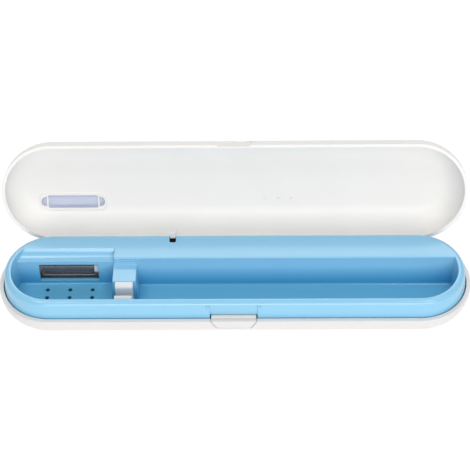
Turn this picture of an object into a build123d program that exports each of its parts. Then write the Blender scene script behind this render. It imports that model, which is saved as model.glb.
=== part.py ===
from build123d import *
import os
from math import cos, radians, sin, sqrt, tan

os.makedirs("parts", exist_ok=True)

# Case seen from above: a straight middle between two half-round ends
end_radius = 24.5
half_straight = 85.5
wall = 1.8
seam = 0.2

# Base shell
rim_z = 12.5
base_edge_radius = 10.0

# Lid, and how far it swings back
lid_depth = 14.6
lid_edge_radius = 12.0
lid_wall = 1.6
open_angle = 113.0
scoop_rim_length = 15.0
scoop_top_length = 18.0
scoop_height = 5.0
scoop_depth = 0.8
press_rib_width = 1.9
press_rib_z = 22.0
press_rib_heel_z = 16.3
press_rib_front_y = end_radius - 7.5

# Hinge
hinge_offset = 0.4
hinge_spacing = 55.0
knuckle_radius = 2.0
pin_radius = 0.75
base_knuckle_length = 8.0
lid_knuckle_length = 4.0
knuckle_gap = 0.3
pin_play = 0.05
stop_reach = 3.2
stop_gap = 0.05

# Inner tray
tray_fit = 0.4
tray_top_z = 21.5
tray_wall = 1.6
tray_outer_draft = 6.5
tray_edge_radius = 2.4
skirt_bottom_z = 10.0
trough_floor_z = 3.8
trough_top_radius = end_radius - 6.1
trough_draft = 4.0
basin_edge_radius = 5.0
ledge_front_y = end_radius - 18.0
lip_radius = 0.6

# Head compartment at the left end, with the lamp behind its wall
head_bay_right_x = -56.3
head_ledge_y = end_radius - 11.65
lamp_wall_y = end_radius - 17.0
cove_edge_z = 18.2
window_left_x = -92.1
window_right_x = -64.2
window_low_z = 5.6
window_high_z = 16.1
drain_radius = 0.95
drain_pitch_x = 10.65
drain_pitch_y = 4.75
drain_middle_x = -77.95
drain_middle_y = -0.25

# Neck clip and the block behind it
block_width = 10.2
block_front_y = 20.6 - end_radius
block_top_z = 17.3
clip_width = 8.2
clip_top_z = 17.4
clip_front_drop = 0.3
clip_front_y = 9.6 - end_radius
clip_mouth = 4.6
clip_front_arm = 2.7
clip_seat_z = 10.6
clip_peg = 3.0

# Lid switch: a plunger through the ledge, on a micro switch
switch_x = -29.1
switch_y = end_radius - 7.0
blade_y = end_radius - 5.25
blade_width = 2.5
blade_thickness = 0.9
plunger_proud = 3.7
plunger_travel = 3.25
plunger_foot = (4.2, 3.7)
plunger_play = 0.07
slot_width = 3.0
slot_front_y = end_radius - 8.3
slot_back_y = end_radius - 4.73
slot_z = 20.5
seal_thickness = 0.95
switch_size = (6.4, 4.0, 3.2)
switch_nub = 0.3

# Latch button at the front
latch_top_width = 20.9
latch_bottom_width = 15.5
latch_bottom_z = 7.4
latch_thickness = 3.3
latch_lip = 1.1
latch_travel = 0.9
latch_gap = 0.25
latch_lip_half = 10.3
latch_lip_front = end_radius - 1.9
latch_nose_front = end_radius - 1.37
latch_spring_z = 8.8
latch_spring_radius = 1.0
latch_spring_wire = 0.13
latch_spring_length = 1.9

# Window in the lid
lens_length = 30.3
lens_end_width = 4.7
lens_body_length = 24.4
lens_width = 6.3
lens_bar = (21.0, 3.6)
lens_middle_x = -78.0
lens_middle_y = end_radius - 14.9
lens_flange = 0.9
lens_lip = 1.0
lens_gap = 0.1
roof_mark_y = end_radius - 15.85
roof_mark_xs = (14.1, 20.9, 27.1)

# Lamp
lamp_y = end_radius - 13.2
lamp_z = 10.4
lamp_radius = 2.4
lamp_glass = 0.5
lamp_left_x = -92.7
lamp_right_x = -64.9
lamp_cap_radius = 2.9
lamp_cap_length = 2.3
lamp_cap_end = 0.9
reflector_radius = 4.4
reflector_thickness = 0.3
reflector_left_x = -90.7
reflector_right_x = -66.6
lamp_pin_radius = 0.35
lamp_pin_length = 6.1
electrode_radius = 1.3
electrode_length = 2.4
holder_left_x = -95.3
holder_right_x = -59.0
holder_front_y = end_radius - 15.5
holder_top_z = 14.4

# Two cells in a row under the right ledge
cell_radius = 5.25
cell_length = 44.5
cell_nub_radius = 1.9
cell_nub_length = 0.8
cell_y = end_radius - 10.3
cell_z = 7.6
bay_right_x = 86.0
contact_thickness = 0.4
spring_room = 4.5
bay_wall = 1.5
door_side_y = end_radius - 16.0
door_edge_z = 5.0
door_gap = 0.3

# Circuit board
board_left_x = -50.5
board_length = 33.5
board_width = 11.2
board_thickness = 1.2
board_y = end_radius - 10.6
board_z = 5.0

# Screws
case_screw_places = [(-54.5, end_radius - 12.0), (-13.2, end_radius - 12.0), (93.5, end_radius - 14.2)]
case_screw_radius = 1.0
case_screw_length = 10.0
screw_head_radius = 1.8
screw_head_height = 1.2
screw_sunk = 0.8
boss_radius = 2.9
boss_split_z = 6.6
board_screw_inset = 2.2
board_screw_radius = 0.8
transformer_x = -41.5
transformer_y = board_y - 0.5
drive_capacitor_x = -34.4
tuning_capacitor_x = -28.4
chip_x = -22.6

# Worked out from the dimensions above
inner_radius = end_radius - wall
tray_radius = inner_radius - tray_fit
lid_rim_z = rim_z + seam
hinge_y = end_radius + hinge_offset
hinge_z = rim_z - 0.1
ledge_under_z = tray_top_z - tray_wall
trough_depth = tray_top_z - trough_floor_z
basin_low_z = trough_floor_z - tray_wall
knuckle_set_half = base_knuckle_length / 2 + knuckle_gap + lid_knuckle_length
notch_radius = knuckle_radius + knuckle_gap + pin_play
hinge_places = (-hinge_spacing, hinge_spacing)
bay_left_x = bay_right_x - 2 * contact_thickness - 2 * cell_length - spring_room
far = 2 * (half_straight + end_radius)

# The lid is drawn where it lies when shut, on planes that swing open with it
swing = Location((0, hinge_y, hinge_z), (-open_angle, 0, 0)) * Location((0, -hinge_y, -hinge_z))
lid_up = Axis((0, hinge_y, hinge_z), (0, sin(radians(open_angle)), cos(radians(open_angle))))


def on_lid(plane):
    """The plane of the shut lid, where it is with the lid open."""
    return Plane(swing * plane.location)


def outline(radius):
    """The case's outline from above, with the given end radius."""
    return SlotCenterToCenter(2 * half_straight, 2 * radius)


def level(z):
    """The level plane at height z."""
    return Plane.XY.offset(z)


def across(x):
    """The plane across the case at x: its own x is +Y and its own y is +Z."""
    return Plane.YZ.offset(x)


def finish(builder, label):
    """Label the finished piece and write it."""
    builder.part.label = label
    export_step(builder.part, "parts/" + label + ".step")


def lean(z):
    """How far a trough wall has leant in by height z."""
    return (tray_top_z - z) * tan(radians(trough_draft))


# The basin: the trough with its walls and floor, before it is hollowed
with BuildPart() as basin:
    with BuildSketch(level(basin_low_z)):
        outline(trough_top_radius - lean(basin_low_z) + tray_wall)
        with Locations((0, lamp_wall_y - lean(basin_low_z) + tray_wall)):
            Rectangle(far, far, align=(Align.CENTER, Align.MIN), mode=Mode.SUBTRACT)
        with Locations((head_bay_right_x, ledge_front_y - lean(basin_low_z) + tray_wall)):
            Rectangle(far, far, align=(Align.MIN, Align.MIN), mode=Mode.SUBTRACT)
    extrude(amount=trough_depth, taper=-trough_draft)
    basin_floor = basin.faces().sort_by(Axis.Z)[0]
    basin_edges = basin_floor.edges().sort_by(Axis.Y)[:1] + basin_floor.edges().filter_by(GeomType.CIRCLE)
    fillet(basin_edges, basin_edge_radius)

# The hollow of the trough, standing clear round the neck block
trough_lean = lean(trough_floor_z)
trough_floor_radius = trough_top_radius - trough_lean
block_left_x = head_bay_right_x
block_right_x = head_bay_right_x + block_width
with BuildPart() as trough:
    with BuildSketch(level(trough_floor_z)):
        outline(trough_floor_radius)
        with Locations((0, lamp_wall_y - lean(trough_floor_z))):
            Rectangle(far, far, align=(Align.CENTER, Align.MIN), mode=Mode.SUBTRACT)
        with Locations((block_left_x - trough_lean, ledge_front_y - lean(trough_floor_z))):
            Rectangle(far, far, align=(Align.MIN, Align.MIN), mode=Mode.SUBTRACT)
        with Locations((block_left_x - trough_lean, block_front_y - trough_lean)):
            Rectangle(block_width + 2 * trough_lean, far, align=(Align.MIN, Align.MIN), mode=Mode.SUBTRACT)
    extrude(amount=trough_depth + 1, taper=-trough_draft)
    fillet(trough.faces().sort_by(Axis.Z)[0].edges(), 0.8)

# The hollow between the skirt, the ledge and the basin, open below
cove_shelf = [
    (lamp_wall_y - tray_wall, cove_edge_z - tray_wall),
    (lamp_wall_y + 2.2, cove_edge_z - tray_wall),
    (head_ledge_y + 1.8, ledge_under_z),
    (head_ledge_y + 1.8, tray_top_z),
    (lamp_wall_y - tray_wall, tray_top_z),
]
with BuildPart() as underside:
    with BuildSketch(level(skirt_bottom_z - 1)):
        outline(tray_radius - tray_wall)
    extrude(amount=rim_z - skirt_bottom_z + 1)
    with BuildSketch(level(rim_z)):
        outline(tray_radius - tray_wall)
    extrude(amount=ledge_under_z - rim_z, taper=tray_outer_draft)
    add(basin.part, mode=Mode.SUBTRACT)
    with BuildSketch(across(head_bay_right_x + tray_wall)):
        with BuildLine():
            Polyline(*cove_shelf, close=True)
        make_face()
    extrude(amount=-far / 2, mode=Mode.SUBTRACT)

# The cove that leads from the left ledge down to the lamp's wall
cove_low_y = lamp_wall_y - lean(cove_edge_z)
with BuildPart() as cove:
    with BuildSketch(across(head_bay_right_x)):
        with BuildLine():
            Line((cove_low_y - 1, cove_edge_z), (cove_low_y, cove_edge_z))
            TangentArc((cove_low_y, cove_edge_z), (head_ledge_y, tray_top_z), tangent=(1, 0))
            Polyline(
                (head_ledge_y, tray_top_z),
                (head_ledge_y, tray_top_z + 1),
                (cove_low_y - 1, tray_top_z + 1),
                (cove_low_y - 1, cove_edge_z),
            )
        make_face()
    extrude(amount=-far / 2)
    with BuildSketch(level(trough_floor_z)):
        outline(trough_floor_radius)
    extrude(amount=trough_depth + 1, taper=-trough_draft, mode=Mode.INTERSECT)

# Inner tray
latch_half = latch_top_width / 2
latch_back_y = -(end_radius - latch_thickness)
recess_floor_y = latch_back_y + latch_travel + 0.1
recess_front_y = 3.15 - end_radius
saddle_places = (5, 41, 77)
groove_heights = (19.2, 20.6)
with BuildPart() as inner_tray:
    with BuildSketch(level(skirt_bottom_z)):
        outline(tray_radius)
    extrude(amount=rim_z - skirt_bottom_z)
    with BuildSketch(level(rim_z)):
        outline(tray_radius)
    extrude(amount=tray_top_z - rim_z, taper=tray_outer_draft)
    fillet(inner_tray.faces().sort_by(Axis.Z)[-1].edges(), tray_edge_radius)
    add(underside.part, mode=Mode.SUBTRACT)
    add(basin.part)
    with Locations((0, recess_floor_y, skirt_bottom_z)):
        Box(
            2 * latch_half + 4,
            2 * tray_wall,
            ledge_under_z - skirt_bottom_z,
            align=(Align.CENTER, Align.CENTER, Align.MIN),
        )
    add(trough.part, mode=Mode.SUBTRACT)
    # the block is lower than the ledge
    with BuildSketch(level(block_top_z)):
        with Locations((block_left_x - 1, ledge_front_y - lean(block_top_z))):
            Rectangle(block_width + 2, 14, align=(Align.MIN, Align.MAX))
    extrude(amount=tray_top_z - block_top_z + 1, taper=-trough_draft, mode=Mode.SUBTRACT)
    add(cove.part, mode=Mode.SUBTRACT)
    # rounded front edge of the ledge
    top_face = inner_tray.faces().filter_by(Plane.XY).sort_by(Axis.Z)[-1]
    ledge_edges = top_face.edges().filter_by_position(Axis.Y, ledge_front_y, head_ledge_y).filter_by(GeomType.LINE)
    fillet(ledge_edges.group_by(Axis.Y)[0].sort_by(SortBy.LENGTH)[-1], lip_radius)
    # room for the latch button
    with Locations((0, recess_floor_y, skirt_bottom_z - 1)):
        Box(
            2 * latch_half + 1,
            end_radius,
            rim_z + latch_lip + latch_gap - skirt_bottom_z + 1,
            align=(Align.CENTER, Align.MAX, Align.MIN),
            mode=Mode.SUBTRACT,
        )
    # shallow recess above it
    with Locations((0, recess_front_y, rim_z)):
        Box(2 * latch_half + 1, end_radius, end_radius, align=(Align.CENTER, Align.MAX, Align.MIN), mode=Mode.SUBTRACT)
    # window in front of the lamp
    with BuildSketch(Plane.XZ.offset(-lamp_wall_y - 3)):
        with Locations(((window_left_x + window_right_x) / 2, (window_low_z + window_high_z) / 2)):
            RectangleRounded(window_right_x - window_left_x, window_high_z - window_low_z, 0.4)
    extrude(amount=6, mode=Mode.SUBTRACT)
    # drain holes
    with BuildSketch(level(trough_floor_z + 1)):
        with Locations((drain_middle_x, drain_middle_y)):
            with GridLocations(drain_pitch_x, drain_pitch_y, 3, 2):
                Circle(drain_radius)
    extrude(amount=-tray_wall - 2, mode=Mode.SUBTRACT)
    # guide and slot of the lid switch's plunger
    with Locations((switch_x, slot_front_y - 0.8, ledge_under_z + 0.1)):
        Box(slot_width + 1.6, end_radius - 4.0 - slot_front_y + 0.8, 0.9, align=(Align.CENTER, Align.MIN, Align.MAX))
    with Locations((switch_x, blade_y, tray_top_z)):
        Box(blade_width + 2 * plunger_play, blade_thickness + 2 * plunger_play, 8, mode=Mode.SUBTRACT)
    with BuildSketch(level(slot_z)):
        with Locations((switch_x, (slot_front_y + slot_back_y) / 2)):
            RectangleRounded(slot_width, slot_back_y - slot_front_y, 0.7)
    extrude(amount=2, mode=Mode.SUBTRACT)
    # screw bosses
    with BuildSketch(level(boss_split_z)):
        with Locations(*case_screw_places):
            Circle(boss_radius - 0.3)
    extrude(amount=ledge_under_z - boss_split_z + 0.1)
    with BuildSketch(level(boss_split_z - 1)):
        with Locations(*case_screw_places):
            Circle(case_screw_radius)
    extrude(amount=case_screw_length, mode=Mode.SUBTRACT)
    # saddles over the cells
    for x in saddle_places:
        with BuildSketch(across(x)):
            with Locations((ledge_front_y + 1.2, 12)):
                Rectangle(13, ledge_under_z - 12 + 0.1, align=(Align.MIN, Align.MIN))
            with Locations((cell_y, cell_z)):
                Circle(cell_radius + 0.15, mode=Mode.SUBTRACT)
        extrude(amount=1.2)
    # seat of the neck clip's peg
    with Locations((block_left_x + block_width / 2, block_front_y - 6.5, trough_floor_z)):
        Box(clip_peg, clip_peg, 3 * tray_wall, mode=Mode.SUBTRACT)
    # hollow of the neck block
    with Locations((block_left_x + block_width / 2, 0, trough_floor_z - tray_wall - 1)):
        Box(
            block_width - 2 * tray_wall,
            -2 * (block_front_y + tray_wall),
            block_top_z - trough_floor_z + 1,
            align=(Align.CENTER, Align.CENTER, Align.MIN),
            mode=Mode.SUBTRACT,
        )
    # two fine grooves over the block
    for z in groove_heights:
        with Locations((block_left_x + block_width / 2 + 1.4, ledge_front_y - lean(z), z)):
            Box(7.3, 0.6, 0.4, mode=Mode.SUBTRACT)
finish(inner_tray, "inner_tray")

# Wall of the base shell, before anything is cut or added
with BuildPart() as shell_solid:
    with BuildSketch(level(0)):
        outline(end_radius)
    extrude(amount=rim_z)
    fillet(shell_solid.faces().sort_by(Axis.Z)[0].edges(), base_edge_radius)

with BuildPart() as shell_wall:
    add(shell_solid.part)
    offset(amount=-wall, openings=shell_wall.faces().sort_by(Axis.Z)[-1])

# The room inside the base shell
with BuildPart() as room:
    with BuildSketch(level(wall)):
        outline(inner_radius)
    extrude(amount=rim_z - wall)
    fillet(room.faces().sort_by(Axis.Z)[0].edges(), base_edge_radius - wall)

# End walls of the battery bay
with BuildPart() as bay_ends:
    for x in (bay_left_x - bay_wall, bay_right_x):
        with Locations((x, cell_y - cell_radius - 0.4, 0)):
            Box(bay_wall, 2 * cell_radius + 0.4, 11, align=(Align.MIN, Align.MIN, Align.MIN))
    add(shell_solid.part, mode=Mode.INTERSECT)

# Front outline of the latch button
latch_outline = [
    (-latch_half, rim_z),
    (-latch_bottom_width / 2, latch_bottom_z),
    (latch_bottom_width / 2, latch_bottom_z),
    (latch_half, rim_z),
]

# Base shell
door_left_x = bay_left_x + 1.1
door_right_x = bay_right_x - 1
board_screw_places = [
    (board_left_x + board_screw_inset, board_y - 2.4),
    (board_left_x + board_length - board_screw_inset, board_y - 2.4),
]
wire_radius = 0.5
wire_z = board_z + board_thickness + wire_radius
cell_wire_y = board_y + 2.7
wire_edge_y = board_y + 4.2
base_gusset = [
    (hinge_y - 1.9, hinge_z),
    (hinge_y + knuckle_radius * cos(radians(30)), hinge_z - knuckle_radius / 2),
    (hinge_y - 1.3, hinge_z - 4.5),
    (hinge_y - 1.9, hinge_z - 4.5),
]
with BuildPart() as base_shell:
    add(shell_wall.part)
    # opening for the latch button
    with BuildSketch(Plane.XZ.offset(inner_radius - 3)):
        with BuildLine():
            Polyline(
                (-latch_half - latch_gap, rim_z + 1),
                (-latch_half - latch_gap, rim_z),
                (-latch_bottom_width / 2 - latch_gap, latch_bottom_z - latch_gap),
                (latch_bottom_width / 2 + latch_gap, latch_bottom_z - latch_gap),
                (latch_half + latch_gap, rim_z),
                (latch_half + latch_gap, rim_z + 1),
                close=True,
            )
        make_face()
    extrude(amount=wall + 5, mode=Mode.SUBTRACT)
    # opening for the battery door
    with Locations(((door_left_x + door_right_x) / 2, door_side_y, door_edge_z)):
        Box(
            door_right_x - door_left_x + 2 * door_gap,
            end_radius,
            door_edge_z + 1,
            align=(Align.CENTER, Align.MIN, Align.MAX),
            mode=Mode.SUBTRACT,
        )
    # notches for the lid's knuckles, then the base's knuckles
    for x in hinge_places:
        for side in (-1, 1):
            with BuildSketch(across(x + side * base_knuckle_length / 2)):
                with Locations((hinge_y, hinge_z)):
                    Circle(notch_radius)
            extrude(amount=side * (lid_knuckle_length + 2 * knuckle_gap), mode=Mode.SUBTRACT)
        with BuildSketch(across(x)):
            with BuildLine():
                Polyline(*base_gusset, close=True)
            make_face()
            with Locations((hinge_y, hinge_z)):
                Circle(knuckle_radius)
        extrude(amount=base_knuckle_length / 2, both=True)
        with BuildSketch(across(x)):
            with Locations((hinge_y, hinge_z)):
                Circle(pin_radius)
        extrude(amount=base_knuckle_length / 2, both=True, mode=Mode.SUBTRACT)
    # screw bosses, with the heads let in from below
    with BuildSketch(level(wall - 0.5)):
        with Locations(*case_screw_places):
            Circle(boss_radius)
    extrude(amount=boss_split_z - wall + 0.5)
    with BuildSketch(level(screw_sunk + screw_head_height)):
        with Locations(*case_screw_places):
            Circle(case_screw_radius + 0.1)
    extrude(amount=boss_split_z, mode=Mode.SUBTRACT)
    with BuildSketch(level(-1)):
        with Locations(*case_screw_places):
            Circle(screw_head_radius + 0.3)
    extrude(amount=screw_sunk + screw_head_height + 1, mode=Mode.SUBTRACT)
    # standoffs of the circuit board
    with BuildSketch(level(wall - 0.5)):
        with Locations(*board_screw_places):
            Circle(2.2)
    extrude(amount=board_z - wall + 0.5)
    with BuildSketch(level(wall)):
        with Locations(*board_screw_places):
            Circle(board_screw_radius)
    extrude(amount=board_z, mode=Mode.SUBTRACT)
    add(bay_ends.part)
    with Locations((bay_left_x - bay_wall / 2, cell_wire_y, wire_z)):
        Cylinder(wire_radius + 0.1, bay_wall + 1, rotation=(0, 90, 0), mode=Mode.SUBTRACT)
finish(base_shell, "base_shell")

# Latch button: a piece of the front wall that slides inwards
with BuildPart() as latch_button:
    with BuildSketch(Plane.XZ.offset(-latch_back_y)):
        with BuildLine():
            Polyline(*latch_outline, close=True)
        make_face()
    extrude(amount=end_radius + latch_back_y)
    add(shell_solid.part, mode=Mode.INTERSECT)
    # ears that hold it behind the wall
    with Locations((0, latch_back_y, latch_bottom_z + 0.5)):
        Box(2 * latch_half, 0.8, rim_z - latch_bottom_z - 0.5, align=(Align.CENTER, Align.MAX, Align.MIN))
    # lip with the nose that catches the lid
    with BuildSketch(across(-latch_lip_half)):
        with BuildLine():
            Polyline(
                (latch_back_y, rim_z),
                (-latch_lip_front, rim_z),
                (-latch_lip_front, lid_rim_z + 0.35),
                (-latch_nose_front, lid_rim_z + 0.5),
                (-latch_nose_front, lid_rim_z + 0.7),
                (-latch_lip_front, rim_z + latch_lip),
                (latch_back_y, rim_z + latch_lip),
                close=True,
            )
        make_face()
    extrude(amount=2 * latch_lip_half)
finish(latch_button, "latch_button")

with BuildPart() as latch_spring:
    with BuildLine() as coil:
        Helix(
            0.5,
            latch_spring_length - 2 * latch_spring_wire,
            latch_spring_radius,
            center=(0, latch_back_y + latch_spring_wire + 0.02, latch_spring_z),
            direction=(0, 1, 0),
        )
    with BuildSketch(Plane(coil.line @ 0, z_dir=coil.line % 0)):
        Circle(latch_spring_wire)
    sweep()
finish(latch_spring, "latch_spring")

# Lid shell, drawn shut and standing open
lid_top_z = lid_rim_z + lid_depth
roof_z = lid_top_z - lid_wall
round_y = end_radius - lid_edge_radius
round_z = lid_top_z - lid_edge_radius
lens_border_z = roof_z - 0.6
lens_top_z = lens_border_z + 0.5 + lens_flange
strap_z = lens_border_z + 0.1
stop_start = (
    -(hinge_offset - stop_gap) * cos(radians(open_angle)),
    -(hinge_offset - stop_gap) * sin(radians(open_angle)),
)


def stop_point(reach):
    """A point of the lid's stop face, that far from the axis, with the lid shut."""
    return (
        hinge_y + stop_start[0] + reach * sin(radians(open_angle)),
        hinge_z + stop_start[1] - reach * cos(radians(open_angle)),
    )


def lens_outline(grow):
    """The window's outline with its two narrower ends, larger by grow all round."""
    RectangleRounded(lens_body_length + 2 * grow, lens_width + 2 * grow, 1.2 + grow)
    RectangleRounded(lens_length + 2 * grow, lens_end_width + 2 * grow, 2.1 + grow)


def rib_edge(angle):
    """A point of the press rib's outer edge, inside the lid's rounded wall."""
    return (
        round_y + (lid_edge_radius - 1) * cos(radians(angle)),
        round_z + (lid_edge_radius - 1) * sin(radians(angle)),
    )


lid_gusset = [
    (hinge_y - 1.3, hinge_z + 0.4),
    stop_point(stop_reach / 2),
    stop_point(stop_reach),
    (stop_point(stop_reach)[0], stop_point(stop_reach)[1] + 0.9),
    (hinge_y - 0.6, hinge_z + 4.4),
    (hinge_y - 1.3, hinge_z + 4.4),
]
with BuildPart() as lid_shell:
    with BuildSketch(on_lid(level(lid_rim_z))):
        outline(end_radius)
    extrude(amount=lid_depth)
    fillet(lid_shell.faces().sort_by(lid_up)[-1].edges(), lid_edge_radius)
    offset(amount=-lid_wall, openings=lid_shell.faces().sort_by(lid_up)[0])
    # border round the window, the window's seat and its opening
    with BuildSketch(on_lid(level(lens_border_z))):
        with Locations((lens_middle_x, lens_middle_y)):
            RectangleRounded(lens_length + 1.6, lens_width + 2.4, 3.0)
    extrude(amount=1.2, taper=-45)
    with BuildSketch(on_lid(level(lens_border_z - 1))):
        with Locations((lens_middle_x, lens_middle_y)):
            lens_outline(lens_gap)
    extrude(amount=lens_top_z - lens_border_z + 1, mode=Mode.SUBTRACT)
    with BuildSketch(on_lid(level(lens_border_z))):
        with Locations((lens_middle_x, lens_middle_y)):
            lens_outline(lens_gap - lens_lip)
    extrude(amount=lid_depth, mode=Mode.SUBTRACT)
    # two straps that hold the window in its seat
    for side in (-1, 1):
        with Locations(on_lid(Plane((lens_middle_x + side * (lens_body_length / 2 + 0.1), lens_middle_y, strap_z)))):
            Box(0.8, lens_width + 1.4, lens_top_z - lens_flange - strap_z, align=(Align.CENTER, Align.CENTER, Align.MIN))
    # three moulding marks on the roof
    with BuildSketch(on_lid(level(roof_z - 0.4))):
        with Locations(*[(x, roof_mark_y) for x in roof_mark_xs]):
            Circle(0.55)
    extrude(amount=1)
    # rib that presses the switch's plunger
    with BuildSketch(on_lid(across(switch_x - press_rib_width / 2))):
        with BuildLine():
            Polyline(
                rib_edge(66),
                (press_rib_front_y, press_rib_z),
                (end_radius - 3.2, press_rib_z),
                (end_radius - 2.35, press_rib_heel_z),
                rib_edge(5),
            )
            ThreePointArc(rib_edge(5), rib_edge(35), rib_edge(66))
        make_face()
    extrude(amount=press_rib_width)
    # groove that the latch's nose catches in
    with Locations(on_lid(Plane((0, -latch_nose_front - 0.09, lid_rim_z + 0.3)))):
        Box(2 * latch_lip_half + 0.6, 1, 0.7, align=(Align.CENTER, Align.MIN, Align.MIN), mode=Mode.SUBTRACT)
    # thumb scoop outside
    with BuildSketch(on_lid(Plane.XZ.offset(end_radius - scoop_depth))):
        with BuildLine():
            Polyline(
                (-scoop_rim_length / 2, lid_rim_z - 1),
                (-scoop_rim_length / 2, lid_rim_z),
                (-scoop_top_length / 2, lid_rim_z + scoop_height),
                (scoop_top_length / 2, lid_rim_z + scoop_height),
                (scoop_rim_length / 2, lid_rim_z),
                (scoop_rim_length / 2, lid_rim_z - 1),
                close=True,
            )
        make_face()
    extrude(amount=2, mode=Mode.SUBTRACT)
    # notches for the base's knuckles, then the lid's knuckles with their stops
    for x in hinge_places:
        with BuildSketch(on_lid(across(x))):
            with Locations((hinge_y, hinge_z)):
                Circle(notch_radius)
        extrude(amount=base_knuckle_length / 2 + knuckle_gap, both=True, mode=Mode.SUBTRACT)
        for side in (-1, 1):
            with BuildSketch(on_lid(across(x + side * (base_knuckle_length / 2 + knuckle_gap)))):
                with BuildLine():
                    Polyline(*lid_gusset, close=True)
                make_face()
                with Locations((hinge_y, hinge_z)):
                    Circle(knuckle_radius)
            extrude(amount=side * lid_knuckle_length)
        with BuildSketch(on_lid(across(x))):
            with Locations((hinge_y, hinge_z)):
                Circle(pin_radius + pin_play)
        extrude(amount=knuckle_set_half, both=True, mode=Mode.SUBTRACT)
finish(lid_shell, "lid_shell")

with BuildPart() as hinge_pins:
    for x in hinge_places:
        with BuildSketch(across(x)):
            with Locations((hinge_y, hinge_z)):
                Circle(pin_radius)
        extrude(amount=knuckle_set_half, both=True)
finish(hinge_pins, "hinge_pins")

# Window in the lid
with BuildPart() as lid_window:
    with BuildSketch(on_lid(level(lens_top_z - lens_flange))):
        with Locations((lens_middle_x, lens_middle_y)):
            lens_outline(0)
    extrude(amount=lens_flange)
    with BuildSketch(on_lid(level(lens_top_z))):
        with Locations((lens_middle_x, lens_middle_y)):
            lens_outline(-lens_lip)
    extrude(amount=lid_top_z - lens_top_z)
    # raised bar along its middle
    with BuildSketch(on_lid(level(lens_top_z - lens_flange))):
        with Locations((lens_middle_x, lens_middle_y)):
            RectangleRounded(*lens_bar, 0.4)
    extrude(amount=-0.4)
finish(lid_window, "lid_window")

# Neck clip, leaning with the block behind it
clip_back_top_y = block_front_y - lean(clip_top_z) - 0.05
clip_back_low_y = block_front_y - lean(trough_floor_z) - 0.05
clip_mouth_front_y = clip_front_y + clip_front_arm
clip_mouth_back_y = clip_mouth_front_y + clip_mouth
clip_middle_x = block_left_x + block_width / 2
with BuildPart() as neck_clip:
    with BuildSketch(across(clip_middle_x - clip_width / 2)):
        with BuildLine():
            Polyline(
                (clip_front_y + 1, trough_floor_z),
                (clip_back_low_y - 1, trough_floor_z),
                (clip_back_low_y, trough_floor_z + 1),
                (clip_back_top_y, clip_top_z),
                (clip_mouth_back_y, clip_top_z),
                (clip_mouth_back_y, clip_seat_z),
                (clip_mouth_front_y, clip_seat_z),
                (clip_mouth_front_y, clip_top_z - clip_front_drop),
                (clip_front_y, clip_top_z - clip_front_drop),
                (clip_front_y, trough_floor_z + 1),
                close=True,
            )
        make_face()
        with Locations(((clip_mouth_front_y + clip_mouth_back_y) / 2, clip_seat_z)):
            Circle(clip_mouth / 2, mode=Mode.SUBTRACT)
    extrude(amount=clip_width)
    fillet(neck_clip.edges().filter_by(Axis.X).group_by(Axis.Z)[-2], 0.8)
    top_edges = neck_clip.edges().filter_by(Axis.X).group_by(Axis.Z)[-1].sort_by(Axis.Y)
    fillet(top_edges[0], 1.5)
    fillet(neck_clip.edges().filter_by(Axis.X).group_by(Axis.Z)[-1].sort_by(Axis.Y)[-1], 0.5)
    with Locations((clip_middle_x, block_front_y - 6.5, trough_floor_z + 0.1)):
        Box(clip_peg - 0.1, clip_peg - 0.1, tray_wall + 0.1, align=(Align.CENTER, Align.CENTER, Align.MAX))
finish(neck_clip, "neck_clip")

# Lamp: a glass tube between two caps, held by two blocks in front of a reflector
with BuildPart() as uv_lamp_tube:
    with BuildSketch(across(lamp_left_x)):
        with Locations((lamp_y, lamp_z)):
            Circle(lamp_radius)
    extrude(amount=lamp_right_x - lamp_left_x)
    with BuildSketch(across(lamp_left_x + 0.8)):
        with Locations((lamp_y, lamp_z)):
            Circle(lamp_radius - lamp_glass)
    extrude(amount=lamp_right_x - lamp_left_x - 1.6, mode=Mode.SUBTRACT)
    with BuildSketch(across(lamp_left_x)):
        with Locations((lamp_y, lamp_z)):
            Circle(lamp_pin_radius)
    extrude(amount=lamp_right_x - lamp_left_x, mode=Mode.SUBTRACT)
finish(uv_lamp_tube, "uv_lamp_tube")


def lamp_cap(tube_end, outwards):
    """The cap on one end of the lamp: a sleeve over the glass, closed outside."""
    with BuildPart() as cap:
        with BuildSketch(across(tube_end + outwards * lamp_cap_end)):
            with Locations((lamp_y, lamp_z)):
                Circle(lamp_cap_radius)
                Circle(lamp_pin_radius, mode=Mode.SUBTRACT)
        extrude(amount=-outwards * lamp_cap_length)
        with BuildSketch(across(tube_end)):
            with Locations((lamp_y, lamp_z)):
                Circle(lamp_radius)
        extrude(amount=-outwards * lamp_cap_length, mode=Mode.SUBTRACT)
    return cap


def lamp_electrode(cap_end, outwards):
    """One electrode: a cup inside the glass on a pin that comes out of the cap."""
    with BuildPart() as electrode:
        with BuildSketch(across(cap_end + outwards * 1.0)):
            with Locations((lamp_y, lamp_z)):
                Circle(lamp_pin_radius)
        extrude(amount=-outwards * lamp_pin_length)
        with BuildSketch(across(cap_end + outwards * (1.0 - lamp_pin_length))):
            with Locations((lamp_y, lamp_z)):
                Circle(electrode_radius)
        extrude(amount=-outwards * electrode_length)
    return electrode


lamp_cap_left = lamp_cap(lamp_left_x, -1)
finish(lamp_cap_left, "lamp_cap_left")
lamp_cap_right = lamp_cap(lamp_right_x, 1)
finish(lamp_cap_right, "lamp_cap_right")
cap_left_end = lamp_left_x - lamp_cap_end
cap_right_end = lamp_right_x + lamp_cap_end
lamp_electrode_left = lamp_electrode(cap_left_end, -1)
finish(lamp_electrode_left, "lamp_electrode_left")
lamp_electrode_right = lamp_electrode(cap_right_end, 1)
finish(lamp_electrode_right, "lamp_electrode_right")


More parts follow.
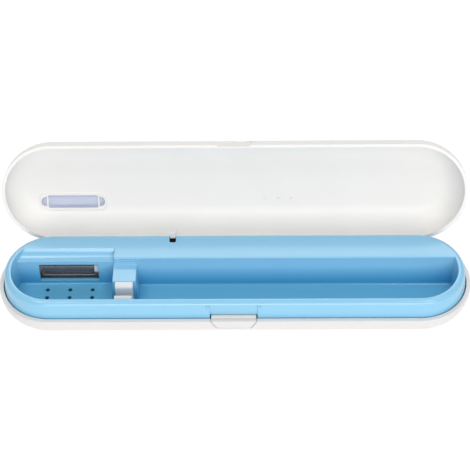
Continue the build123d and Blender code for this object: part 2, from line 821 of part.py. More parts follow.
def lamp_holder(left_x, right_x, back_y):
    """A block on the shell's floor that grips one cap from outside."""
    with BuildPart() as holder:
        with Locations((left_x, holder_front_y, wall)):
            Box(right_x - left_x, back_y - holder_front_y, holder_top_z - wall, align=(Align.MIN, Align.MIN, Align.MIN))
        with BuildSketch(across(cap_left_end)):
            with Locations((lamp_y, lamp_z)):
                Circle(lamp_cap_radius)
        extrude(amount=cap_right_end - cap_left_end, mode=Mode.SUBTRACT)
        with BuildSketch(across(cap_left_end - 1.0)):
            with Locations((lamp_y, lamp_z)):
                Circle(lamp_pin_radius)
        extrude(amount=cap_right_end - cap_left_end + 2.0, mode=Mode.SUBTRACT)
        add(room.part, mode=Mode.INTERSECT)
    return holder


lamp_holder_left = lamp_holder(holder_left_x, window_left_x - 0.3, lamp_y + 6.7)
finish(lamp_holder_left, "lamp_holder_left")
lamp_holder_right = lamp_holder(window_right_x + 0.2, holder_right_x, lamp_y + 5.9)
finish(lamp_holder_right, "lamp_holder_right")

# Reflector behind the lamp, with a tab to each holder
with BuildPart() as lamp_reflector:
    with BuildSketch(across(reflector_left_x)):
        with Locations((lamp_y, lamp_z)):
            Circle(reflector_radius + reflector_thickness)
            Circle(reflector_radius, mode=Mode.SUBTRACT)
        with BuildLine():
            Polyline(
                (lamp_y, lamp_z),
                (lamp_y + 8 * cos(radians(80)), lamp_z + 8 * sin(radians(80))),
                (lamp_y - 8, lamp_z + 8),
                (lamp_y - 8, lamp_z - 8),
                (lamp_y + 8 * cos(radians(245)), lamp_z + 8 * sin(radians(245))),
                close=True,
            )
        make_face(mode=Mode.SUBTRACT)
    extrude(amount=reflector_right_x - reflector_left_x)
    with BuildSketch(across(window_left_x - 0.3)):
        with Locations((lamp_y + reflector_radius + reflector_thickness / 2 - 0.1, lamp_z)):
            Rectangle(reflector_thickness, 2.4)
    extrude(amount=window_right_x - window_left_x + 0.5)
finish(lamp_reflector, "lamp_reflector")


# Cells, with their contacts
def cell(left_x):
    """One round cell with its nub on the right."""
    with BuildPart() as round_cell:
        with BuildSketch(across(left_x)):
            with Locations((cell_y, cell_z)):
                Circle(cell_radius)
        extrude(amount=cell_length - cell_nub_length)
        fillet(round_cell.edges(), 0.4)
        with BuildSketch(across(left_x + cell_length - cell_nub_length)):
            with Locations((cell_y, cell_z)):
                Circle(cell_nub_radius)
        extrude(amount=cell_nub_length)
    return round_cell


left_cell_x = bay_left_x + contact_thickness + spring_room
battery_left = cell(left_cell_x)
finish(battery_left, "battery_left")
battery_right = cell(left_cell_x + cell_length)
finish(battery_right, "battery_right")

with BuildPart() as battery_spring:
    with Locations((bay_left_x, cell_y, 3.0)):
        Box(contact_thickness, 8, 9.0, align=(Align.MIN, Align.CENTER, Align.MIN))
    with BuildLine() as coil:
        Helix(
            1.1,
            spring_room - 0.6,
            3.0,
            center=(bay_left_x + contact_thickness + 0.2, cell_y, cell_z),
            direction=(1, 0, 0),
        )
    with BuildSketch(Plane(coil.line @ 0, z_dir=coil.line % 0)):
        Circle(0.3)
    sweep()
finish(battery_spring, "battery_spring")

with BuildPart() as battery_contact:
    with Locations((bay_right_x - contact_thickness, cell_y - 4, 3.0)):
        Box(contact_thickness, 8, 9.0, align=(Align.MIN, Align.MIN, Align.MIN))
    with Locations((bay_right_x - contact_thickness, cell_y, wire_z - 0.7)):
        Box(contact_thickness, cell_radius + 1.5, 1.6, align=(Align.MIN, Align.MIN, Align.MIN))
finish(battery_contact, "battery_contact")

# Battery door, a piece of the shell's wall, hooked in at its left end
with BuildPart() as battery_door:
    with Locations((door_left_x, door_side_y + door_gap, -1)):
        Box(door_right_x - door_left_x, end_radius, door_edge_z - door_gap + 1, align=(Align.MIN, Align.MIN, Align.MIN))
    add(shell_wall.part, mode=Mode.INTERSECT)
    # round left edge that the door turns on, and the tongue over it
    with BuildSketch(Plane.XZ):
        with Locations((door_left_x, 0)):
            Rectangle(wall / 2, wall, align=(Align.MIN, Align.MIN))
        with Locations((door_left_x + wall / 2, wall / 2)):
            Circle(wall / 2, mode=Mode.SUBTRACT)
    extrude(amount=-end_radius, mode=Mode.SUBTRACT)
    with Locations((door_left_x - 0.7, door_side_y + 1.0, wall + 0.15)):
        Box(3.5, 2.4, 0.85, align=(Align.MIN, Align.MIN, Align.MIN))
    with Locations((door_left_x + wall / 2, door_side_y + 1.0, wall - 0.3)):
        Box(3.5 - 0.7 - wall / 2, 2.4, 0.5, align=(Align.MIN, Align.MIN, Align.MIN))
    # thumb grooves near the right end
    for step in range(4):
        with Locations((door_right_x - 5 - 2 * step, door_side_y + 3.5, 0)):
            Box(0.8, 7, 0.8, mode=Mode.SUBTRACT)
finish(battery_door, "battery_door")

# Circuit board and what stands on it
board_top_z = board_z + board_thickness
board_right_x = board_left_x + board_length
with BuildPart() as circuit_board:
    with Locations((board_left_x, board_y - board_width / 2, board_z)):
        Box(board_length, board_width, board_thickness, align=(Align.MIN, Align.MIN, Align.MIN))
    with BuildSketch(level(board_z)):
        with Locations(*board_screw_places):
            Circle(board_screw_radius + 0.1)
    extrude(amount=board_thickness, mode=Mode.SUBTRACT)
finish(circuit_board, "circuit_board")

with BuildPart() as board_screws:
    with BuildSketch(level(board_top_z)):
        with Locations(*board_screw_places):
            Circle(board_screw_radius + 0.6)
    extrude(amount=0.8)
    with BuildSketch(level(wall + 0.2)):
        with Locations(*board_screw_places):
            Circle(board_screw_radius)
    extrude(amount=board_top_z - wall - 0.2)
    for x, y in board_screw_places:
        with Locations((x, y, board_top_z + 0.8)):
            Box(2.0, 0.4, 0.8, mode=Mode.SUBTRACT)
            Box(0.4, 2.0, 0.8, mode=Mode.SUBTRACT)
finish(board_screws, "board_screws")

with BuildPart() as case_screws:
    with BuildSketch(level(screw_sunk)):
        with Locations(*case_screw_places):
            Circle(screw_head_radius)
    extrude(amount=screw_head_height)
    with BuildSketch(level(screw_sunk)):
        with Locations(*case_screw_places):
            Circle(case_screw_radius)
    extrude(amount=case_screw_length + screw_head_height)
    for x, y in case_screw_places:
        with Locations((x, y, screw_sunk)):
            Box(2.2, 0.45, 1.2, mode=Mode.SUBTRACT)
            Box(0.45, 2.2, 1.2, mode=Mode.SUBTRACT)
finish(case_screws, "case_screws")

with BuildPart() as transformer_core:
    with BuildSketch(Plane.XZ.offset(-transformer_y - 2)):
        with Locations((transformer_x, board_top_z + 3.1)):
            Rectangle(9.6, 6.2)
        with Locations((transformer_x - 2.55, board_top_z + 3.1), (transformer_x + 2.55, board_top_z + 3.1)):
            Rectangle(2.7, 3.6, mode=Mode.SUBTRACT)
    extrude(amount=4)
finish(transformer_core, "transformer_core")

with BuildPart() as transformer_coil:
    with BuildSketch(level(board_top_z + 1.5)):
        with Locations((transformer_x, transformer_y)):
            RectangleRounded(7.6, 8.6, 1.4)
            Rectangle(2.5, 4.1, mode=Mode.SUBTRACT)
    extrude(amount=3.2)
finish(transformer_coil, "transformer_coil")

with BuildPart() as drive_capacitor:
    with BuildSketch(level(board_top_z)):
        with Locations((drive_capacitor_x, board_y - 1)):
            Circle(2.0)
    extrude(amount=8)
    fillet(drive_capacitor.faces().sort_by(Axis.Z)[-1].edges(), 0.5)
finish(drive_capacitor, "drive_capacitor")

with BuildPart() as tuning_capacitor:
    with BuildSketch(level(board_top_z)):
        with Locations((tuning_capacitor_x, board_y - 3.2)):
            RectangleRounded(6.5, 2.8, 0.6)
    extrude(amount=5.2)
finish(tuning_capacitor, "tuning_capacitor")

with BuildPart() as control_chip:
    with Locations((chip_x, board_y + 1.6, board_top_z + 0.2)):
        Box(3.9, 5.0, 1.4, align=(Align.CENTER, Align.CENTER, Align.MIN))
    for step in range(4):
        with Locations((chip_x, board_y + 1.6 + 1.27 * (step - 1.5), board_top_z)):
            Box(6.0, 0.4, 0.5, align=(Align.CENTER, Align.CENTER, Align.MIN))
finish(control_chip, "control_chip")

# Lid switch
switch_top_z = board_top_z + switch_size[2]
plunger_top_z = tray_top_z + plunger_proud
flange_top_z = ledge_under_z - 0.85
with BuildPart() as switch_body:
    with Locations((switch_x, switch_y, board_top_z)):
        Box(*switch_size, align=(Align.CENTER, Align.CENTER, Align.MIN))
    with BuildSketch(level(switch_top_z)):
        with Locations((switch_x, switch_y)):
            Circle(0.7)
    extrude(amount=switch_nub)
finish(switch_body, "switch_body")

# Plunger: a blade through the slot, on a foot with the spring and the stem below it
foot_back_y = blade_y + blade_thickness / 2
with BuildPart() as switch_plunger:
    with BuildSketch(level(flange_top_z - 0.5)):
        with Locations((switch_x, blade_y)):
            Rectangle(blade_width, blade_thickness)
    extrude(amount=plunger_top_z - flange_top_z + 0.5)
    blade_edges = switch_plunger.edges()
    fillet(blade_edges.filter_by(Axis.Z), 0.4)
    fillet(switch_plunger.faces().sort_by(Axis.Z)[-1].edges(), 0.35)
    with Locations((switch_x, foot_back_y, flange_top_z)):
        Box(*plunger_foot, 1.0, align=(Align.CENTER, Align.MAX, Align.MAX))
    with BuildSketch(level(flange_top_z - 0.5)):
        with Locations((switch_x, switch_y)):
            Circle(0.9)
    extrude(amount=-(flange_top_z - 0.5 - switch_top_z - switch_nub - plunger_travel - 0.05))
finish(switch_plunger, "switch_plunger")

# Rubber pad in the slot, in front of the plunger
with BuildPart() as switch_seal:
    with BuildSketch(level(slot_z)):
        with Locations((switch_x, (slot_front_y + slot_back_y) / 2)):
            RectangleRounded(slot_width - 0.04, slot_back_y - slot_front_y - 0.04, 0.68)
        with Locations((switch_x, blade_y - blade_thickness / 2 - plunger_play)):
            Rectangle(slot_width, end_radius, align=(Align.CENTER, Align.MIN), mode=Mode.SUBTRACT)
    extrude(amount=seal_thickness)
finish(switch_seal, "switch_seal")

with BuildPart() as plunger_spring:
    with BuildLine() as coil:
        Helix(
            1.4,
            flange_top_z - 1.0 - switch_top_z - 0.34,
            1.4,
            center=(switch_x, switch_y, switch_top_z + 0.17),
        )
    with BuildSketch(Plane(coil.line @ 0, z_dir=coil.line % 0)):
        Circle(0.15)
    sweep()
finish(plunger_spring, "plunger_spring")


def straight_wire(left_x, right_x, y):
    """A wire lying on the board and running straight along the case."""
    with BuildPart() as wire:
        with BuildSketch(across(left_x)):
            with Locations((y, wire_z)):
                Circle(wire_radius)
        extrude(amount=right_x - left_x)
    return wire


lamp_wire_left = straight_wire(window_left_x - 0.3, board_left_x + 1.5, wire_edge_y)
finish(lamp_wire_left, "lamp_wire_left")
lamp_wire_right = straight_wire(holder_right_x, board_left_x + 3.5, cell_wire_y)
finish(lamp_wire_right, "lamp_wire_right")
battery_wire_left = straight_wire(board_right_x - 1.5, bay_left_x, cell_wire_y)
finish(battery_wire_left, "battery_wire_left")

with BuildPart() as battery_wire_right:
    with BuildLine(level(wire_z)) as run:
        FilletPolyline(
            (bay_right_x - contact_thickness, cell_y + cell_radius + 1.2),
            (bay_left_x - 2, cell_y + cell_radius + 1.2),
            (board_right_x + 1, wire_edge_y + 0.4),
            (board_right_x - 1.5, wire_edge_y + 0.4),
            radius=1.5,
        )
    with BuildSketch(Plane(run.line @ 0, z_dir=run.line % 0)):
        Circle(wire_radius)
    sweep()
finish(battery_wire_right, "battery_wire_right")
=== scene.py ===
import math

import bmesh
import bpy
from mathutils import Matrix, Vector


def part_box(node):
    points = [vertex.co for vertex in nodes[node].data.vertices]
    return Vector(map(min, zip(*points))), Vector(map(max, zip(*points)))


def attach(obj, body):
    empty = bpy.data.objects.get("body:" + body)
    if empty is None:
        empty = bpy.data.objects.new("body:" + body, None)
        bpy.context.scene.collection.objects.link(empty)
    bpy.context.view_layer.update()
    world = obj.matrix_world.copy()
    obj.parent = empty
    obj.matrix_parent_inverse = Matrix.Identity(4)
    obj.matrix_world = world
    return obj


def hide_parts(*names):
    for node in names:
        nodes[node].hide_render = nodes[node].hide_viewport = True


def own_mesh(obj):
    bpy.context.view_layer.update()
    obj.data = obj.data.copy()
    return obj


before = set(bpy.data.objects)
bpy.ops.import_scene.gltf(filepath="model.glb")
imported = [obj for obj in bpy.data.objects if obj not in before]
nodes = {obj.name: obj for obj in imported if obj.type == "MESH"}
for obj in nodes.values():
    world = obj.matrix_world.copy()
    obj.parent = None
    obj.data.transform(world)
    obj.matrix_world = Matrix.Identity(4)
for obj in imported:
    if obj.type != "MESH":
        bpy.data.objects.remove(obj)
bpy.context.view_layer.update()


def add_object(name, data):
    made = bpy.data.objects.new(name, data)
    bpy.context.scene.collection.objects.link(made)
    return made


# Camera, fitted to the edges of the case in the photograph
def place_camera():
    photo_width_px = 470
    focal_length_px = 1692.13
    sensor_mm = 36
    distance = 0.8034
    elevation = math.radians(48.29)
    yaw = math.radians(1.997)
    roll = math.radians(-1.740)
    target = Vector((0.000107, 0.023739, 0.018))
    back = Vector((
        math.sin(yaw) * math.cos(elevation),
        -math.cos(yaw) * math.cos(elevation),
        math.sin(elevation),
    ))
    flat_right = Vector((math.cos(yaw), math.sin(yaw), 0))
    flat_up = back.cross(flat_right)
    right = math.cos(roll) * flat_right + math.sin(roll) * flat_up
    up = back.cross(right)
    data = bpy.data.cameras.new("camera")
    data.sensor_width = sensor_mm
    data.sensor_fit = "HORIZONTAL"
    data.lens = focal_length_px / photo_width_px * sensor_mm
    data.clip_start = 0.01
    camera = add_object("camera", data)
    spot = target + distance * back
    camera.matrix_world = Matrix((
        (right.x, up.x, back.x, spot.x),
        (right.y, up.y, back.y, spot.y),
        (right.z, up.z, back.z, spot.z),
        (0, 0, 0, 1),
    ))
    bpy.context.scene.camera = camera


place_camera()


# Materials
COLOUR_A, COLOUR_B, COLOUR_RESULT = 6, 7, 2  # sockets of a mix node for colours
TRAY_FLOOR_Z, TRAY_SHADE_END_Z = 0.004, 0.0158  # between these heights the painted shade on the tray's walls and floor fades out
COAT_ROUGHNESS = 0.08
CLEAR_PLASTIC_IOR = 1.49
CELL_LENGTH, CELL_OFFSET = 0.0445, 0.0034


class Nodes:
    """Short calls for building one node material."""

    def __init__(self, name):
        self.material = bpy.data.materials.new(name)
        self.material.use_nodes = True
        self.tree = self.material.node_tree
        self.shader = self.tree.nodes["Principled BSDF"]

    def put(self, **sockets):
        for name, value in sockets.items():
            self.shader.inputs[name.replace("_", " ")].default_value = value
        return self

    def new(self, kind, **settings):
        node = self.tree.nodes.new(kind)
        for name, value in settings.items():
            if name in node.inputs:
                node.inputs[name].default_value = value
            else:
                setattr(node, name, value)
        return node

    def link(self, source, target):
        self.tree.links.new(source, target)

    def noise(self, scale, detail=2.0, stretch=None):
        """Noise in object space, stretched along the axes if asked."""
        place = self.new("ShaderNodeTexCoord")
        noise = self.new("ShaderNodeTexNoise")
        noise.inputs["Scale"].default_value = scale
        noise.inputs["Detail"].default_value = detail
        if stretch:
            mapping = self.new("ShaderNodeMapping")
            mapping.inputs["Scale"].default_value = stretch
            self.link(place.outputs["Object"], mapping.inputs["Vector"])
            self.link(mapping.outputs["Vector"], noise.inputs["Vector"])
        else:
            self.link(place.outputs["Object"], noise.inputs["Vector"])
        return noise.outputs["Fac"]

    def ramp(self, source, low, high, low_at=0.35, high_at=0.65):
        """A colour that runs from low to high as source rises."""
        ramp = self.new("ShaderNodeValToRGB")
        ramp.color_ramp.elements[0].position = low_at
        ramp.color_ramp.elements[0].color = (*low, 1)
        ramp.color_ramp.elements[1].position = high_at
        ramp.color_ramp.elements[1].color = (*high, 1)
        self.link(source, ramp.inputs["Fac"])
        return ramp.outputs["Color"]

    def spread(self, source, low, high):
        """A number that runs from low to high as source rises."""
        spread = self.new("ShaderNodeMapRange")
        spread.inputs["From Min"].default_value = 0.3
        spread.inputs["From Max"].default_value = 0.7
        spread.inputs["To Min"].default_value = low
        spread.inputs["To Max"].default_value = high
        self.link(source, spread.inputs["Value"])
        return spread.outputs["Result"]

    def bump(self, source, height, strength=0.3, edge=0.0):
        """Relief from source, over edges rounded in shading by edge metres."""
        bump = self.new("ShaderNodeBump")
        bump.inputs["Strength"].default_value = strength
        bump.inputs["Distance"].default_value = height
        self.link(source, bump.inputs["Height"])
        if edge:
            bevel = self.new("ShaderNodeBevel", samples=6)
            bevel.inputs["Radius"].default_value = edge
            self.link(bevel.outputs["Normal"], bump.inputs["Normal"])
        self.link(bump.outputs["Normal"], self.shader.inputs["Normal"])


def shade(colour, factor):
    return tuple(c * factor for c in colour)


def moulded(
    name, colour, roughness=0.28, vary=0.03, grain=0.00002, edge=0.0003, coat=0.0, gloss=0.5, painted_shade=None
):
    """Moulded plastic: faint mottling, a fine grain and softly rounded edges.

    The last argument gives two factors of painted shade low down, one for walls and one for floors.
    """
    m = Nodes(name)
    m.put(Specular_IOR_Level=gloss)
    if coat:
        m.put(Coat_Weight=coat, Coat_Roughness=COAT_ROUGHNESS)
    mottle = m.noise(60, 3)
    surface = m.ramp(mottle, shade(colour, 1 - vary), shade(colour, 1 + vary * 0.3))
    if painted_shade:
        surface = painted_low_shade(m, surface, *painted_shade)
    m.link(surface, m.shader.inputs["Base Color"])
    m.link(m.spread(m.noise(300, 2), roughness - 0.02, roughness + 0.03), m.shader.inputs["Roughness"])
    m.bump(m.noise(500, 2), grain, 0.04, edge)
    return m.material


def painted_low_shade(m, surface, wall_shade, floor_shade):
    """surface times a painted shade factor that differs between walls and floors, darker and more teal low
    in the tray, and fades out higher up.
    """
    place = m.new("ShaderNodeTexCoord")
    split = m.new("ShaderNodeSeparateXYZ")
    facing = m.new("ShaderNodeSeparateXYZ")
    height = m.new("ShaderNodeMapRange")
    height.inputs["From Min"].default_value = TRAY_FLOOR_Z
    height.inputs["From Max"].default_value = TRAY_SHADE_END_Z
    facing_shade = m.new("ShaderNodeMix", data_type="RGBA")
    facing_shade.inputs[COLOUR_A].default_value = (*wall_shade, 1)
    facing_shade.inputs[COLOUR_B].default_value = (*floor_shade, 1)
    blend = m.new("ShaderNodeMix", data_type="RGBA")
    blend.inputs[COLOUR_B].default_value = (1, 1, 1, 1)
    mix = m.new("ShaderNodeMix", data_type="RGBA", blend_type="MULTIPLY")
    mix.inputs["Factor"].default_value = 1.0
    m.link(place.outputs["Object"], split.inputs["Vector"])
    m.link(place.outputs["Normal"], facing.inputs["Vector"])
    m.link(split.outputs["Z"], height.inputs["Value"])
    m.link(facing.outputs["Z"], facing_shade.inputs["Factor"])
    m.link(facing_shade.outputs[COLOUR_RESULT], blend.inputs[COLOUR_A])
    m.link(height.outputs["Result"], blend.inputs["Factor"])
    m.link(surface, mix.inputs[COLOUR_A])
    m.link(blend.outputs[COLOUR_RESULT], mix.inputs[COLOUR_B])
    return mix.outputs[COLOUR_RESULT]


def metal(name, colour, roughness=0.25, stretch=None):
    """Bare or plated metal with fine drawing marks."""
    m = Nodes(name)
    m.put(Metallic=1.0)
    marks = m.noise(700, 3, stretch)
    m.link(m.ramp(marks, shade(colour, 0.8), colour), m.shader.inputs["Base Color"])
    m.link(m.spread(marks, roughness, roughness + 0.15), m.shader.inputs["Roughness"])
    m.bump(m.noise(1500, 2, stretch), 0.00002, 0.2, 0.0001)
    return m.material


def clear(name, colour, roughness, alpha):
    """Clear plastic or glass, slightly hazed."""
    m = Nodes(name)
    m.put(IOR=CLEAR_PLASTIC_IOR, Alpha=alpha, Specular_IOR_Level=0.6)
    haze = m.noise(120, 3)
    m.link(m.ramp(haze, shade(colour, 0.96), colour), m.shader.inputs["Base Color"])
    m.link(m.spread(haze, roughness, roughness + 0.06), m.shader.inputs["Roughness"])
    m.bump(m.noise(800, 2), 0.00001, 0.1)
    return m.material


def winding():
    """Enamelled wire wound in layers."""
    m = Nodes("winding")
    m.put(Metallic=0.7)
    place = m.new("ShaderNodeTexCoord")
    wave = m.new("ShaderNodeTexWave", wave_type="BANDS", bands_direction="Z")
    wave.inputs["Scale"].default_value = 520
    wave.inputs["Distortion"].default_value = 0.6
    m.link(place.outputs["Object"], wave.inputs["Vector"])
    wire_colour = m.ramp(wave.outputs["Fac"], (0.16, 0.045, 0.015), (0.62, 0.25, 0.10), 0.1, 0.8)
    m.link(wire_colour, m.shader.inputs["Base Color"])
    m.link(m.spread(m.noise(400), 0.25, 0.45), m.shader.inputs["Roughness"])
    m.bump(wave.outputs["Fac"], 0.0001, 0.6)
    return m.material


def board_lacquer():
    """Green lacquer with darker tracks under it."""
    m = Nodes("board_lacquer")
    m.put(Coat_Weight=0.4, Coat_Roughness=0.15)
    place = m.new("ShaderNodeTexCoord")
    brick = m.new("ShaderNodeTexBrick")
    for name, value in (("Scale", 260.0), ("Mortar Size", 0.06), ("Brick Width", 1.7), ("Row Height", 0.5)):
        brick.inputs[name].default_value = value
    brick.inputs["Color1"].default_value = (0.012, 0.10, 0.03, 1)
    brick.inputs["Color2"].default_value = (0.016, 0.13, 0.04, 1)
    brick.inputs["Mortar"].default_value = (0.04, 0.24, 0.08, 1)
    m.link(place.outputs["Object"], brick.inputs["Vector"])
    m.link(brick.outputs["Color"], m.shader.inputs["Base Color"])
    m.link(m.spread(m.noise(500), 0.25, 0.4), m.shader.inputs["Roughness"])
    m.bump(brick.outputs["Fac"], 0.00005, 0.3)
    return m.material


def cell_sleeve():
    """The printed sleeve of a cell: dark, with a plain copper band at the nub's end."""
    m = Nodes("cell_sleeve")
    place = m.new("ShaderNodeTexCoord")
    split = m.new("ShaderNodeSeparateXYZ")
    m.link(place.outputs["Object"], split.inputs["Vector"])
    turn = m.new("ShaderNodeMath", operation="FRACT")
    step = m.new("ShaderNodeMath", operation="MULTIPLY_ADD")
    step.inputs[1].default_value = 1 / CELL_LENGTH
    step.inputs[2].default_value = CELL_OFFSET / CELL_LENGTH + 2
    m.link(split.outputs["X"], step.inputs[0])
    m.link(step.outputs[0], turn.inputs[0])
    band = m.new("ShaderNodeValToRGB")
    band.color_ramp.interpolation = "CONSTANT"
    band.color_ramp.elements[0].color = (0.012, 0.013, 0.016, 1)
    band.color_ramp.elements[1].position = 0.66
    band.color_ramp.elements[1].color = (0.50, 0.19, 0.07, 1)
    nub = band.color_ramp.elements.new(0.968)
    nub.color = (0.6, 0.6, 0.6, 1)
    m.link(turn.outputs[0], band.inputs["Fac"])
    m.link(band.outputs["Color"], m.shader.inputs["Base Color"])
    m.put(Metallic=0.6)
    m.link(m.spread(m.noise(300), 0.22, 0.36), m.shader.inputs["Roughness"])
    m.bump(m.noise(900), 0.00002, 0.15, 0.0002)
    return m.material


# The shell is the same white plastic as the lid, set darker than the lid's white to make up for the
# stronger light on the shell: painted shade
SHADED_SHELL_WHITE = (0.72, 0.708, 0.695)
LID_WHITE = (0.85, 0.830, 0.804)
BLUE = (0.258, 0.560, 0.785)
# Painted shade: factors that darken the tray's walls and floor low in the trough and turn them more teal
TRAY_WALL_SHADE = (0.22, 0.74, 0.90)
TRAY_FLOOR_SHADE = (0.66, 0.97, 1.0)
looks = {
    "white_shell": moulded("white_shell", SHADED_SHELL_WHITE, 0.30, 0.012, coat=0.15),
    "lid_white": moulded("lid_white", LID_WHITE, 0.46, 0.012, gloss=0.32),
    "blue_tray": moulded(
        "blue_tray", BLUE, 0.16, 0.008, coat=0.3, edge=0.0005, painted_shade=(TRAY_WALL_SHADE, TRAY_FLOOR_SHADE)
    ),
    "clip_white": moulded("clip_white", (0.75, 0.765, 0.785), 0.33, 0.015, edge=0.0003),
    "cap_white": moulded("cap_white", (0.80, 0.80, 0.79), 0.45, 0.03),
    "holder_grey": moulded("holder_grey", (0.12, 0.125, 0.13), 0.5, 0.08),
    "black_plastic": moulded("black_plastic", (0.02, 0.02, 0.022), 0.4, 0.2),
    "black_rubber": moulded("black_rubber", (0.002, 0.003, 0.005), 0.7, 0.2, gloss=0.1),
    # Near-black felt for the pad under the drain holes: painted shade
    "dark_shade_felt": moulded("dark_shade_felt", (0.006, 0.010, 0.016), 0.9, 0.4, 0.0002),
    "cap_grey": moulded("cap_grey", (0.16, 0.165, 0.17), 0.4, 0.05),
    "ferrite": moulded("ferrite", (0.035, 0.035, 0.038), 0.6, 0.3, 0.00006),
    "sleeve_blue": moulded("sleeve_blue", (0.02, 0.035, 0.09), 0.35, 0.1),
    "film_red": moulded("film_red", (0.30, 0.06, 0.02), 0.3, 0.15, 0.00005),
    "wire_red": moulded("wire_red", (0.42, 0.02, 0.02), 0.45, 0.08),
    "wire_black": moulded("wire_black", (0.02, 0.02, 0.02), 0.45, 0.2),
    "wire_white": moulded("wire_white", (0.62, 0.62, 0.61), 0.45, 0.05),
    "reflector": metal("reflector", (0.68, 0.70, 0.73), 0.5, (1, 30, 30)),
    "electrode": metal("electrode", (0.62, 0.38, 0.26), 0.3),
    "steel": metal("steel", (0.56, 0.56, 0.57), 0.28, (1, 20, 20)),
    "contact": metal("contact", (0.70, 0.69, 0.66), 0.25),
    "window": clear("window", (0.60, 0.64, 0.82), 0.18, 0.62),
    "lamp_glass": clear("lamp_glass", (0.16, 0.17, 0.19), 0.16, 0.55),
    "winding": winding(),
    "board": board_lacquer(),
    "cell": cell_sleeve(),
}
node_looks = {
    "base_shell": "white_shell", "battery_door": "white_shell", "latch_button": "white_shell",
    "lid_shell": "lid_white", "inner_tray": "blue_tray", "neck_clip": "clip_white",
    "lid_window": "window", "uv_lamp_tube": "lamp_glass",
    "lamp_cap_left": "cap_grey", "lamp_cap_right": "cap_white",
    "lamp_electrode_left": "electrode", "lamp_electrode_right": "electrode",
    "lamp_holder_left": "holder_grey", "lamp_holder_right": "holder_grey",
    "lamp_reflector": "reflector", "circuit_board": "board", "control_chip": "black_plastic",
    "transformer_core": "ferrite", "transformer_coil": "winding",
    "drive_capacitor": "sleeve_blue", "tuning_capacitor": "film_red",
    "switch_body": "black_plastic", "switch_plunger": "cap_white", "switch_seal": "black_rubber",
    "plunger_spring": "steel", "latch_spring": "steel", "battery_spring": "steel",
    "battery_left": "cell", "battery_right": "cell", "battery_contact": "contact",
    "hinge_pins": "steel", "case_screws": "steel", "board_screws": "steel",
    "lamp_wire_left": "wire_white", "lamp_wire_right": "wire_white",
    "battery_wire_left": "wire_black", "battery_wire_right": "wire_red",
}
for name, look in node_looks.items():
    mesh = nodes[name].data
    mesh.materials.clear()
    mesh.materials.append(looks[look])


# Dark felt pad on the shell's floor under the drain holes, put there to darken the holes: painted shade
def shade_pad():
    low, high = (-0.0925, -0.0055, 0.0018), (-0.0640, 0.0045, 0.0021)
    corner_radius = 0.002
    level_enough = 1e-5
    mesh = bpy.data.meshes.new("shade_pad")
    shape = bmesh.new()
    bmesh.ops.create_cube(shape, size=1)
    bmesh.ops.scale(shape, vec=[b - a for a, b in zip(low, high)], verts=shape.verts)
    bmesh.ops.translate(shape, vec=[(a + b) / 2 for a, b in zip(low, high)], verts=shape.verts)
    upright = [e for e in shape.edges if abs(e.verts[0].co.z - e.verts[1].co.z) > level_enough]
    bmesh.ops.bevel(shape, geom=upright, offset=corner_radius, segments=6, affect="EDGES")
    shape.to_mesh(mesh)
    shape.free()
    mesh.materials.append(looks["dark_shade_felt"])
    pad = add_object("shade_pad", mesh)
    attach(pad, "case")


shade_pad()
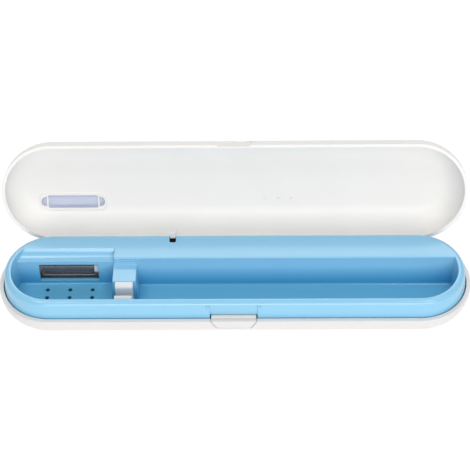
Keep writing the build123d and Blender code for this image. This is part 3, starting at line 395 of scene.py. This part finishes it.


# Springs for the plunger and the latch button, drawn as coils in the boxes of their CAD pieces
def coil(name, node, axis, wire, pitch, fixed_end):
    """A round wire wound along axis in the box of the CAD node.

    wire is its radius; fixed_end (0 for the lower end, 1 for the upper end) sets an anchor point that is
    not used.
    """
    steps_per_turn, sides = 24, 8
    end_room = 1.1 * wire
    low, high = (Vector(corner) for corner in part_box(node))
    across = [k for k in range(3) if k != axis]
    middle = (low + high) / 2
    radius = (high[across[0]] - low[across[0]]) / 2 - wire
    length = high[axis] - low[axis]
    rise = length - 2 * end_room
    turns = rise / pitch
    steps = int(turns * steps_per_turn)

    def at(t):
        angle = 2 * math.pi * turns * t
        point = Vector(middle)
        point[across[0]] += radius * math.cos(angle)
        point[across[1]] += radius * math.sin(angle)
        point[axis] = low[axis] + end_room + rise * t
        return point

    along = Vector([float(k == axis) for k in range(3)])
    points = []
    for i in range(steps + 1):
        here = at(i / steps)
        outward = here - Vector(middle)
        outward[axis] = 0
        outward.normalize()
        for k in range(sides):
            turn = 2 * math.pi * k / sides
            points.append(here + wire * (math.cos(turn) * outward + math.sin(turn) * along))
    faces = []
    for start in range(0, steps * sides, sides):
        for k in range(sides):
            after = (k + 1) % sides
            faces.append((start + k, start + after, start + sides + after, start + sides + k))
    faces.append(tuple(range(sides)))
    faces.append(tuple(steps * sides + k for k in range(sides)))
    mesh = bpy.data.meshes.new(name)
    mesh.from_pydata([tuple(point) for point in points], [], faces)
    shape = bmesh.new()
    shape.from_mesh(mesh)
    bmesh.ops.recalc_face_normals(shape, faces=shape.faces)
    shape.to_mesh(mesh)
    shape.free()
    mesh.shade_smooth()
    mesh.materials.append(looks["steel"])
    spring = add_object(name, mesh)
    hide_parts(node)
    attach(spring, "case")
    anchor = Vector(middle)
    anchor[axis] = (low, high)[fixed_end][axis]
    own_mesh(spring)


coil(
    "plunger_coil", "plunger_spring", axis=2, wire=0.00015, pitch=0.0014,
    fixed_end=0,
)
coil(
    "latch_coil", "latch_spring", axis=1, wire=0.00013, pitch=0.0005,
    fixed_end=1,
)


# Floor, light and background
def lamp(name, spot, aim, size, power):
    data = bpy.data.lights.new(name, "AREA")
    data.shape = "RECTANGLE"
    data.size, data.size_y = size
    data.energy = power
    light = add_object(name, data)
    light.location = spot
    light.rotation_euler = (Vector(aim) - Vector(spot)).to_track_quat("-Z", "Y").to_euler()


def floor():
    half_width = 6.0
    drop = 0.0002
    m = Nodes("floor")
    m.link(m.ramp(m.noise(8), (0.19, 0.19, 0.19), (0.21, 0.21, 0.21)), m.shader.inputs["Base Color"])
    m.put(Roughness=0.6, Specular_IOR_Level=0.2, Emission_Color=(1, 1, 1, 1), Emission_Strength=0.84)
    mesh = bpy.data.meshes.new("floor")
    corners = [(x * half_width, y * half_width, 0) for x, y in ((-1, -1), (1, -1), (1, 1), (-1, 1))]
    mesh.from_pydata(corners, [], [(0, 1, 2, 3)])
    mesh.materials.append(m.material)
    plane = add_object("floor", mesh)
    plane.location.z = -drop


floor()
world = bpy.data.worlds.new("world")
world.use_nodes = True
background = world.node_tree.nodes["Background"]
background.inputs["Color"].default_value = (1, 1, 1, 1)
background.inputs["Strength"].default_value = 0.38
bpy.context.scene.world = world
bpy.context.scene.view_settings.view_transform = "Standard"
lamp("front", (0.20, -1.08, 0.60), (0, 0.02, 0.02), (1.2, 0.6), 9.2)
lamp("top_left", (-0.36, -0.10, 1.12), (0, 0.0, 0), (0.42, 0.35), 2.0)
lamp("top_right", (0.36, -0.10, 1.12), (0, 0.0, 0), (0.42, 0.35), 2.0)
lamp("back", (0.0, 0.95, 0.85), (0, 0.03, 0.03), (1.2, 0.5), 5.0)
